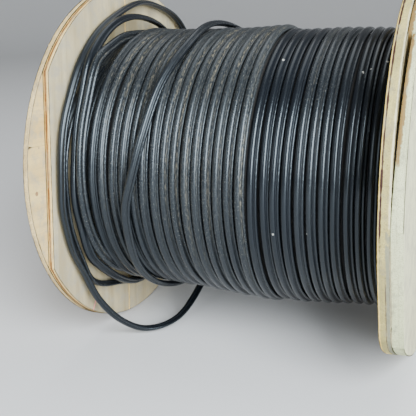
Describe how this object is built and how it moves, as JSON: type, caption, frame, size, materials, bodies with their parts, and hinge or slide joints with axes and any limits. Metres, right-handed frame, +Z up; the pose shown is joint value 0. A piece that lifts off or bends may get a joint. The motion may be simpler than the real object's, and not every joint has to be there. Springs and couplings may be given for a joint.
{
  "type": "wooden cable drum",
  "caption": "Wooden cable drum lying on its flange rims: crossed-board flanges on a stave barrel, wound with black figure-8 cable whose slack turns hang by one flange",
  "frame": {"origin": "On the floor under the middle of the drum's box: the drum lies on its two flange rims, its axis 210 mm up; the middle of the winding is 5.6 mm to -X of the origin because the right flange is thicker", "axes": "+X along the drum's axis from the thin left flange to the thick right flange, +Z up, +Y away from the side that shows the slack turns"},
  "size_m": [0.4144, 0.42, 0.42],
  "materials": {
    "flange_wood": "rough sawn, weathered grey-beige faces with paler yellowish cut edges",
    "barrel_wood": "rough sawn, unpainted",
    "steel": "dull zinc",
    "cable_jacket": "black polyethylene jacket, satin sheen where clean, dusty grey-brown where handled"
  },
  "bodies": {
    "root": {"left_inner_board_1": "flange_wood", "left_inner_board_2": "flange_wood", "left_inner_board_3": "flange_wood", "left_outer_board_1": "flange_wood", "left_outer_board_2": "flange_wood", "left_outer_board_3": "flange_wood", "left_outer_board_4": "flange_wood", "right_inner_board_1": "flange_wood", "right_inner_board_2": "flange_wood", "right_inner_board_3": "flange_wood", "right_inner_board_4": "flange_wood", "right_outer_board_1": "flange_wood", "right_outer_board_2": "flange_wood", "right_outer_board_3": "flange_wood", "stave_1": "barrel_wood", "stave_2": "barrel_wood", "stave_3": "barrel_wood", "stave_4": "barrel_wood", "stave_5": "barrel_wood", "stave_6": "barrel_wood", "stave_7": "barrel_wood", "stave_8": "barrel_wood", "stave_9": "barrel_wood", "stave_10": "barrel_wood", "tie_rod_1": "steel", "tie_rod_2": "steel", "tie_rod_3": "steel", "washer_left_1": "steel", "washer_left_2": "steel", "washer_left_3": "steel", "washer_right_1": "steel", "washer_right_2": "steel", "washer_right_3": "steel", "nut_left_1": "steel", "nut_left_2": "steel", "nut_left_3": "steel", "nut_right_1": "steel", "nut_right_2": "steel", "nut_right_3": "steel", "cable_winding": "cable_jacket", "cable_winding_left_end": "cable_jacket", "slack_loop": "cable_jacket", "slack_turn_2": "cable_jacket", "slack_turn_3": "cable_jacket", "slack_turn_under": "cable_jacket"}
  },
  "joints": []
}
